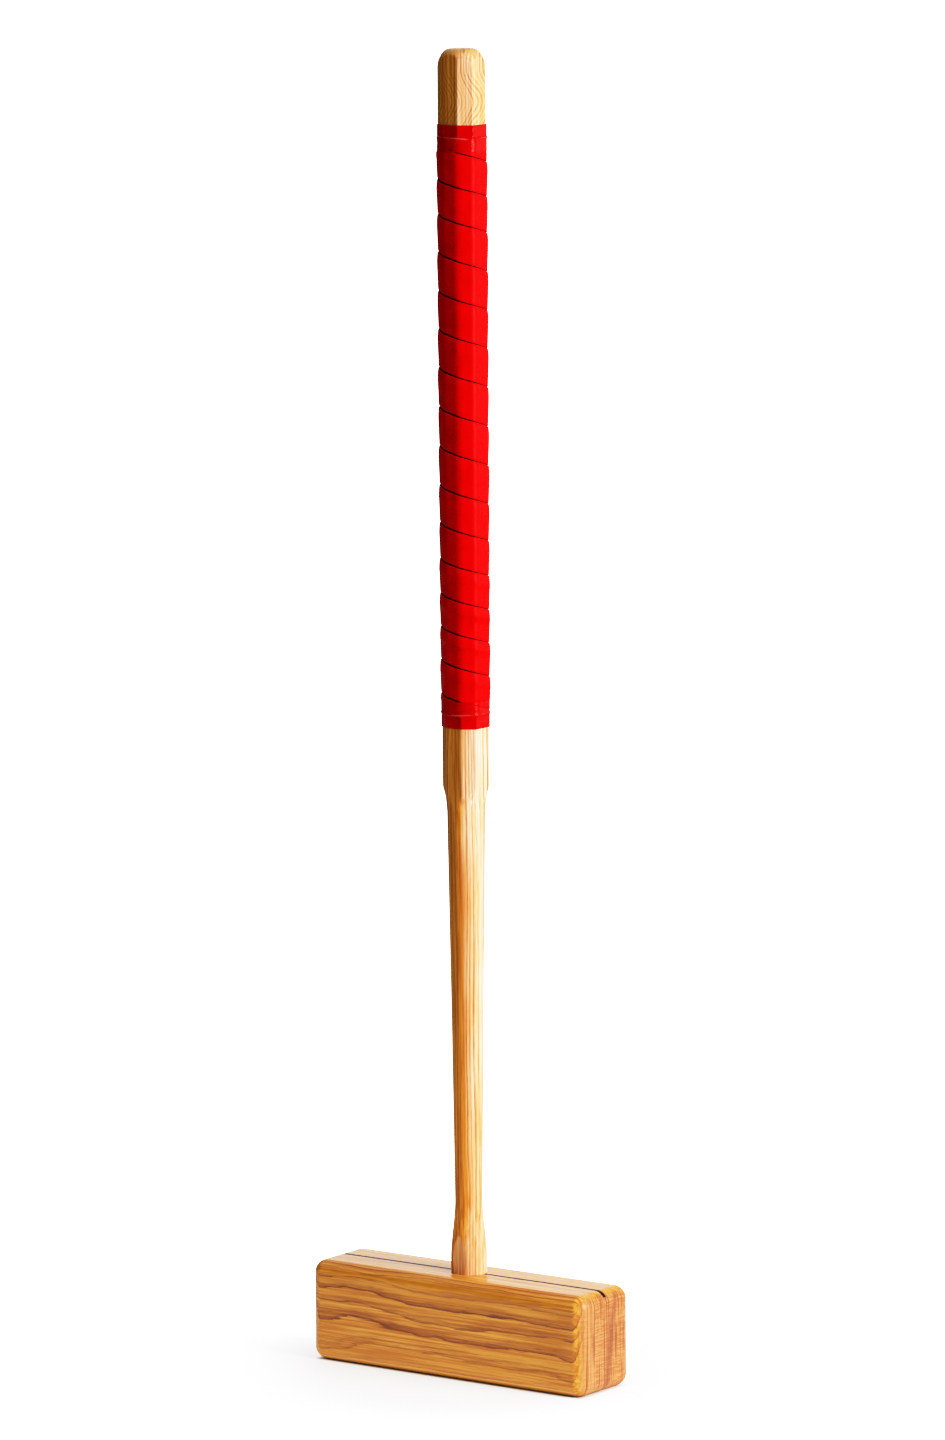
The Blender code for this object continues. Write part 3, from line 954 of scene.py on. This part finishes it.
def make_tape(name, node, on_wood, wrap_end, on_wrap, seed, material):
    """A band of thin glossy tape, tight on the bare wood and stretched over the wrap's end."""
    away = 1 if on_wood > wrap_end else -1
    length = abs(on_wood - on_wrap)
    outside = []
    inside = []
    lip_highlight = []
    for row in range(TAPE_ROWS + 1):
        reach = length * row / TAPE_ROWS
        outer = []
        inner = []
        pulled = []
        for index in range(RING_COUNT):
            angle = 2 * math.pi * FRACTIONS[index]
            wave = ripple(angle, seed)
            z = on_wood - away * reach
            beyond = away * (wrap_end - z) + TAPE_LEDGE * (0.35 + 0.5 * wave)
            climb = smooth_step(beyond / TAPE_LEDGE)
            lip = math.exp(-(((beyond - TAPE_LEDGE * TAPE_LIP_PLACE) / TAPE_LIP_WIDTH) ** 2))
            base = CLEAR + climb * (wrap_surface(index, z) - CLEAR)
            wobble = 1.0 + 0.6 * ripple(angle, seed + 3.0)
            base += lip * TAPE_LIP_HEIGHT * wobble
            # How strongly this point of the lip gets the painted highlight
            pulled.append(lip * max(0.0, wobble - 0.4))
            rounding = TAPE_ROUNDING_ON_WOOD
            rounding += climb * (TAPE_ROUNDING_ON_WRAP - TAPE_ROUNDING_ON_WOOD)
            at_edge = row in (0, TAPE_ROWS)
            thick = TAPE_THICK * (TAPE_BORDER_FACTOR if at_edge else 1.0)
            outer.append(ring_point(index, z, base + CLEAR + thick, rounding))
            inner.append(ring_point(index, z, base + CLEAR, rounding))
        outside.append(outer)
        inside.append(inner)
        lip_highlight.append(pulled)
    if away < 0:
        for side in (outside, inside, lip_highlight):
            side.reverse()
    bm = bmesh.new()
    layer = bm.verts.layers.float.new("lip_highlight")
    made = loft(bm, outside + inside[::-1], tube=True)
    for ring, amounts in zip(made, lip_highlight):
        for vert, amount in zip(ring, amounts):
            vert[layer] = amount
    return add_piece(name, finish_mesh(bm, name), node, material, sharp_degrees=50)


# ---------------------------------------------------------------- shaft

# Directions and rows of the shaft's mesh, and the rings that close its top
NEAR_CORNER_DEGREES = (-2.4, -1.4, -0.7, 0.0, 0.7, 1.4, 2.4)
COLUMNS_PER_FACET = 14
ROW_MARGIN = 0.004
CAP_RINGS = (0.3, 0.6, 0.85)
# A facet or flat only cuts directions that face it, by the cosine between them
LEAST_FACING = 0.3


def turned_radius(z):
    """The turned outline's radius at height z, before its flats are cut."""
    top = SHAFT_HIGH.z
    if z > top - DOME_DEPTH:
        rise = 1.0 - (top - z) / DOME_DEPTH
        return DOME_FLAT_RADIUS + (DOME_RADIUS - DOME_FLAT_RADIUS) * math.sqrt(1 - rise * rise)
    if z > top - DOME_DEPTH * 2:
        part = (top - DOME_DEPTH - z) / DOME_DEPTH
        return DOME_RADIUS + (BLANK_RADIUS - DOME_RADIUS) * part
    if z > COVE_TOP:
        return BLANK_RADIUS
    if z > COVE_BOTTOM:
        rise = 1.0 - (COVE_TOP - z) / (COVE_TOP - COVE_BOTTOM)
        part = math.sqrt(1 - rise * rise)
        return BLANK_RADIUS + (SHAFT_TOP_RADIUS - BLANK_RADIUS) * part
    if z > SHAFT_MID_Z:
        part = (COVE_BOTTOM - z) / (COVE_BOTTOM - SHAFT_MID_Z)
        return SHAFT_TOP_RADIUS + (SHAFT_MID_RADIUS - SHAFT_TOP_RADIUS) * part
    if z > WAIST_Z:
        part = (SHAFT_MID_Z - z) / (SHAFT_MID_Z - WAIST_Z)
        return SHAFT_MID_RADIUS + (WAIST_RADIUS - SHAFT_MID_RADIUS) * part
    if z > FOOT_Z:
        part = smooth_step((WAIST_Z - z) / (WAIST_Z - FOOT_Z))
        return WAIST_RADIUS + (FOOT_RADIUS - WAIST_RADIUS) * part
    if z > HEAD_HIGH.z:
        part = (FOOT_Z - z) / (FOOT_Z - HEAD_HIGH.z)
        return FOOT_RADIUS + (TENON_RADIUS - FOOT_RADIUS) * part
    return TENON_RADIUS


def soft_minimum(a, b, softness):
    """The smaller of two lengths, with the edge between them rounded over."""
    blend = max(softness - abs(a - b), 0.0) / softness
    return min(a, b) - blend * blend * softness / 4


def shaft_radius(angle, z):
    """How far out the shaft's surface is in a direction, with its facets and flats cut."""
    radius = turned_radius(z)
    if z > FACETS_END:
        scale = handle_scale(z)
        flat = math.inf
        for facet, distance in zip(FACET_ANGLES, FACET_DISTANCES):
            facing = math.cos(angle - facet)
            if facing > LEAST_FACING:
                flat = soft_minimum(flat, distance * scale / facing, HANDLE_ARRIS)
        radius = soft_minimum(radius, flat, HANDLE_ARRIS)
    elif z < FOOT_FLATS_TOP:
        facing = abs(math.sin(angle))
        if facing > LEAST_FACING:
            radius = soft_minimum(radius, FOOT_HALF_FLAT / facing, FOOT_ARRIS)
    return radius


def shaft_angles():
    """Directions round the shaft, closer together at the octagon's corners."""
    angles = []
    for index in range(8):
        corner = facet_corner(index, SHAFT_HIGH.z, 0.0)
        angles.append(math.atan2(corner.y, corner.x) % (2 * math.pi))
    angles.sort()
    near = [math.radians(value) for value in NEAR_CORNER_DEGREES]
    spread = []
    for index, angle in enumerate(angles):
        following = angles[(index + 1) % 8]
        if following < angle:
            following += 2 * math.pi
        spread += [angle + value for value in near]
        gap = following - angle - near[-1] * 2
        steps = range(1, COLUMNS_PER_FACET)
        spread += [angle + near[-1] + gap * step / COLUMNS_PER_FACET for step in steps]
    return spread


def shaft_heights():
    """Heights of the shaft's rows, close together where its shape changes."""
    top = SHAFT_HIGH.z
    stretches = (
        (top, top - DOME_DEPTH * 2.4, 90),
        (top - DOME_DEPTH * 2.4, COVE_TOP + ROW_MARGIN, 24),
        (COVE_TOP + ROW_MARGIN, COVE_BOTTOM - ROW_MARGIN, 60),
        (COVE_BOTTOM - ROW_MARGIN, WAIST_Z + ROW_MARGIN, 24),
        (WAIST_Z + ROW_MARGIN, HEAD_HIGH.z, 90),
        (HEAD_HIGH.z, TENON_END, 6),
    )
    heights = [top]
    for high, low, steps in stretches:
        for step in range(1, steps + 1):
            part = step / steps
            heights.append(high + (low - high) * (part * part if high == top else part))
    return heights


def make_shaft(material):
    """The turned stick, with its facets, flats and kerf. Its foot's flats are marked for the wood's
    painted light.
    """
    angles = shaft_angles()
    heights = shaft_heights()
    rings = []
    for height in heights:
        ring = []
        for angle in angles:
            radius = shaft_radius(angle, height)
            ring.append((radius * math.cos(angle), radius * math.sin(angle), height))
        rings.append(ring)
    bm = bmesh.new()
    flat_painted_light = bm.verts.layers.float.new("flat_painted_light")
    top = rings[0]
    caps = [[(x * part, y * part, z) for x, y, z in top] for part in CAP_RINGS]
    rows = loft(bm, caps + rings)
    for row, height in zip(rows[len(caps) :], heights):
        if height < FOOT_FLATS_TOP:
            for vert in row:
                depth = turned_radius(height) - vert.co.xy.length
                vert[flat_painted_light] = smooth_step(depth / FLAT_PAINTED_SOFT)
    fan(bm, rows[0], (0.0, 0.0, SHAFT_HIGH.z), True)
    fan(bm, rows[-1], (0.0, 0.0, TENON_END), False)
    piece = add_piece("shaft_fine", finish_mesh(bm, "shaft_fine"), "shaft", material)
    cut(piece, [kerf_mesh()])
    piece.data.shade_smooth()
    piece.data.set_sharp_from_angle(angle=math.radians(42))
    return piece


def kerf_mesh():
    """The slot that the wedge spreads, a little wider than the wedge all the way up."""
    wide = 2 * TENON_RADIUS
    low = WEDGE_LOW.z - KERF_BELOW
    mesh = box_mesh("kerf", (-1.0, -wide, low), (1.0, wide, WEDGE_HIGH.z + KERF_GAP))
    thick = WEDGE_HIGH.x
    thin = min(v.co.x for v in NODES["tenon_wedge"].data.vertices if v.co.x > 0)
    slope = (thick - thin) / (WEDGE_HIGH.z - WEDGE_LOW.z)
    for vert in mesh.vertices:
        below = WEDGE_HIGH.z - vert.co.z
        vert.co.x *= thin + KERF_GAP + slope * below
    return mesh


# ---------------------------------------------------------------- head


def make_head(material):
    """A box with every edge rounded over, grooved for the sight line and bored for the tenon."""
    piece = add_piece("head_block", box_mesh("head_block", HEAD_LOW, HEAD_HIGH), "head", material)
    bevel = piece.modifiers.new("Rounding", "BEVEL")
    bevel.width = HEAD_ROUNDING
    bevel.segments = HEAD_ROUNDING_STEPS
    groove_half = SIGHT_HIGH.y + CLEAR
    groove = box_mesh(
        "groove",
        (HEAD_LOW.x * 2, -groove_half, SIGHT_LOW.z - CLEAR),
        (HEAD_HIGH.x * 2, groove_half, HEAD_HIGH.z * 2),
    )
    bm = bmesh.new()
    radius = TENON_RADIUS + CLEAR
    bmesh.ops.create_cone(
        bm,
        cap_ends=True,
        segments=MORTISE_SIDES,
        radius1=radius,
        radius2=radius,
        depth=HEAD_HIGH.z * 3,
    )
    limit = FOOT_HALF_FLAT + CLEAR
    for vert in bm.verts:
        vert.co.y = max(-limit, min(limit, vert.co.y))
    mortise = bpy.data.meshes.new("mortise")
    bm.to_mesh(mortise)
    bm.free()
    cut(piece, [groove, mortise])
    piece.data.shade_smooth()
    piece.data.set_sharp_from_angle(angle=math.radians(30))
    normals = piece.modifiers.new("Normals", "WEIGHTED_NORMAL")
    normals.keep_sharp = True
    normals.weight = 70
    return piece


def make_sight_line(name, node, side, material):
    """The inlaid strip, flush with the head's top and with its rounded end."""
    inner = SIGHT_LOW.x
    depth = HEAD_HIGH.z - SIGHT_LOW.z
    centre_x = HEAD_HIGH.x - HEAD_ROUNDING
    centre_z = HEAD_HIGH.z - HEAD_ROUNDING
    outline = [(inner, HEAD_HIGH.z - depth), (inner, HEAD_HIGH.z)]
    sweep = math.acos((HEAD_ROUNDING - depth) / HEAD_ROUNDING)
    for step in range(HEAD_ROUNDING_STEPS + 1):
        angle = sweep * step / HEAD_ROUNDING_STEPS
        x = centre_x + HEAD_ROUNDING * math.sin(angle)
        outline.append((x, centre_z + HEAD_ROUNDING * math.cos(angle)))
    half = SIGHT_HIGH.y
    bm = bmesh.new()
    rings = [[(side * x, y, z) for x, z in outline] for y in (-half, half)]
    rows = loft(bm, rings)
    bm.faces.new(rows[0])
    bm.faces.new(reversed(rows[1]))
    bmesh.ops.recalc_face_normals(bm, faces=bm.faces)
    return add_piece(name, finish_mesh(bm, name), node, material, sharp_degrees=30)


# ---------------------------------------------------------------- studio

# The tone curve: scene light and the screen value it is shown as
TONE_WHITE = 2.0
TONE_POINTS = (
    (0.1, 0.07),
    (0.2, 0.16),
    (0.3, 0.265),
    (0.5, 0.5),
    (0.8, 0.75),
    (1.0, 0.85),
    (1.5, 0.96),
)

# The studio's bright parts: azimuth and height of the middle, the cosines from there between
# which each fades in, and its level outside and inside. The levels add up.
STUDIO_GLOWS = (
    (math.radians(155), 0.0, -0.05, 0.45, 0.04, 0.6),
    (math.radians(145), -0.1, 0.9, 0.98, 0.0, 1.4),
    (math.radians(207), 0.15, 0.86, 0.97, 0.0, 1.2),
)
CEILING_EDGE = (0.35, 0.75)
CEILING = 0.88
BACKDROP = 3.0

# The floor's glow as the camera sees it, and its bounce, which lights the object. Each changes
# from near the object to far from it.
FLOOR_RADIUS = 3.0
FLOOR_GLOW_REACH = (0.08, 0.36)
FLOOR_GLOW = (0.4, 3.0)
FLOOR_BOUNCE_REACH = (0.2, 0.8)
FLOOR_BOUNCE = (1.05, 0.06)
FLOOR_WHITE = 0.9
FLOOR_DULL = 0.25
FLOOR_CONTACT = 0.005

KEY_AZIMUTH = math.radians(90)
KEY_Z = 0.7
KEY_DISTANCE = 1.7
KEY_SIZE = 0.9
KEY_POWER = 58


def grey(level):
    return (level, level, level, 1.0)


def make_floor():
    """A white sweep. It glows as if lit, less near the object and not at all under the head,
    where the contact shadow is."""
    mesh = bpy.data.meshes.new("floor")
    bm = bmesh.new()
    bmesh.ops.create_circle(bm, cap_ends=True, segments=96, radius=FLOOR_RADIUS)
    bm.to_mesh(mesh)
    bm.free()
    floor = bpy.data.objects.new("floor", mesh)
    bpy.context.scene.collection.objects.link(floor)
    floor.location.z = CAD_LOW.z
    material, tree, shader = new_material("floor_white")
    shader.inputs["Roughness"].default_value = 0.7
    shader.inputs["Specular IOR Level"].default_value = 0.1
    x, y = tree.separate(tree.node("ShaderNodeTexCoord").outputs["Object"])[:2]
    past_x = tree.math("SUBTRACT", tree.math("ABSOLUTE", x), HEAD_HIGH.x)
    past_y = tree.math("SUBTRACT", tree.math("ABSOLUTE", y), HEAD_HIGH.y)
    past = tree.math("MAXIMUM", past_x, past_y)
    beside = tree.remap(past, -FLOOR_CONTACT, 0.0)
    reach = tree.vector("LENGTH", tree.combine(x, y, 0.0))
    seen = tree.remap(reach, *FLOOR_GLOW_REACH, *FLOOR_GLOW)
    unseen = tree.remap(reach, *FLOOR_BOUNCE_REACH, *FLOOR_BOUNCE)
    camera = tree.node("ShaderNodeLightPath").outputs["Is Camera Ray"]
    glow = tree.mix(camera, tree.combine(unseen, unseen, unseen), tree.combine(seen, seen, seen))
    tree.put(shader.inputs["Emission Color"], glow)
    tree.put(shader.inputs["Emission Strength"], beside)
    tree.put(shader.inputs["Base Color"], tree.mix(camera, grey(FLOOR_DULL), grey(FLOOR_WHITE)))
    mesh.materials.append(material)


def direction(azimuth, height):
    """A unit vector from the object towards an azimuth, measured as the camera's is."""
    return Vector(
        (
            math.sin(azimuth) * math.cos(height),
            -math.cos(azimuth) * math.cos(height),
            math.sin(height),
        )
    )


def make_key_light():
    """One square soft light, level with the handle, from the +X side."""
    data = bpy.data.lights.new("key", "AREA")
    data.shape = "SQUARE"
    data.size = KEY_SIZE
    data.energy = KEY_POWER
    key = bpy.data.objects.new("key", data)
    bpy.context.scene.collection.objects.link(key)
    key.location = direction(KEY_AZIMUTH, 0.0) * KEY_DISTANCE + Vector((0.0, 0.0, KEY_Z))
    key.rotation_euler = direction(KEY_AZIMUTH, 0.0).to_track_quat("Z", "Y").to_euler()


def make_world():
    """A studio that is bright behind, to the right and above, and dim in front and to the left."""
    world = bpy.data.worlds.new("studio")
    world.use_nodes = True
    bpy.context.scene.world = world
    tree = Tree(world.node_tree)
    background = world.node_tree.nodes["Background"]
    ray = tree.node("ShaderNodeTexCoord").outputs["Generated"]
    level = None
    for azimuth, height, fade_from, fade_to, outside, inside in STUDIO_GLOWS:
        facing = tree.vector("DOT_PRODUCT", ray, direction(azimuth, height))
        glow = tree.remap(facing, fade_from, fade_to, outside, inside)
        level = glow if level is None else tree.math("ADD", level, glow)
    above = tree.remap(tree.separate(ray)[2], *CEILING_EDGE)
    level = tree.mix(above, tree.combine(level, level, level), grey(CEILING))
    seen = tree.node("ShaderNodeLightPath").outputs["Is Camera Ray"]
    level = tree.mix(seen, level, grey(BACKDROP))
    tree.put(background.inputs["Color"], level)
    background.inputs["Strength"].default_value = 1.0


def set_tone():
    """A photographic tone curve: deep shadows, and highlights that roll off before white."""
    view = bpy.context.scene.view_settings
    view.view_transform = "Standard"
    view.use_curve_mapping = True
    mapping = view.curve_mapping
    mapping.white_level = (TONE_WHITE, TONE_WHITE, TONE_WHITE)
    curve = mapping.curves[3]
    for level, shown in TONE_POINTS:
        curve.points.new(level / TONE_WHITE, shown)
    mapping.update()


def make_camera():
    data = bpy.data.cameras.new("camera")
    data.lens = CAMERA_LENS
    data.sensor_width = CAMERA_SENSOR
    data.clip_end = CAMERA_FAR
    camera = bpy.data.objects.new("camera", data)
    bpy.context.scene.collection.objects.link(camera)
    right = Vector((math.cos(CAMERA_AZIMUTH), math.sin(CAMERA_AZIMUTH), 0.0))
    target = Vector((0.0, 0.0, CAMERA_TARGET_Z)) + right * CAMERA_SIDESTEP
    camera.location = target + direction(CAMERA_AZIMUTH, CAMERA_DROP) * CAMERA_DISTANCE
    look = (camera.location - target).to_track_quat("Z", "Y").to_matrix()
    camera.rotation_euler = (look @ Matrix.Rotation(-CAMERA_LEAN, 3, "Z")).to_euler()
    bpy.context.scene.camera = camera


# ---------------------------------------------------------------- build

set_tone()
make_camera()
make_world()
make_key_light()
make_floor()

make_head(make_wood("head_wood", HEAD_LOOK))
shaft_wood = make_wood("shaft_wood", SHAFT_LOOK)
make_shaft(shaft_wood)
finish_cad_node("tenon_wedge", shaft_wood)
black = make_sight_material()
make_sight_line("sight_inlay_left", "sight_line_left", -1, black)
make_sight_line("sight_inlay_right", "sight_line_right", 1, black)
make_grip_wrap(make_grip_material())
vinyl = make_tape_material()
upper_reach = (UPPER_HIGH.z, WRAP_HIGH.z, UPPER_LOW.z)
make_tape("upper_tape", "upper_finishing_tape", *upper_reach, UPPER_TAPE_SEED, vinyl)
lower_reach = (LOWER_LOW.z, WRAP_LOW.z, LOWER_HIGH.z)
make_tape("lower_tape", "lower_finishing_tape", *lower_reach, LOWER_TAPE_SEED, vinyl)
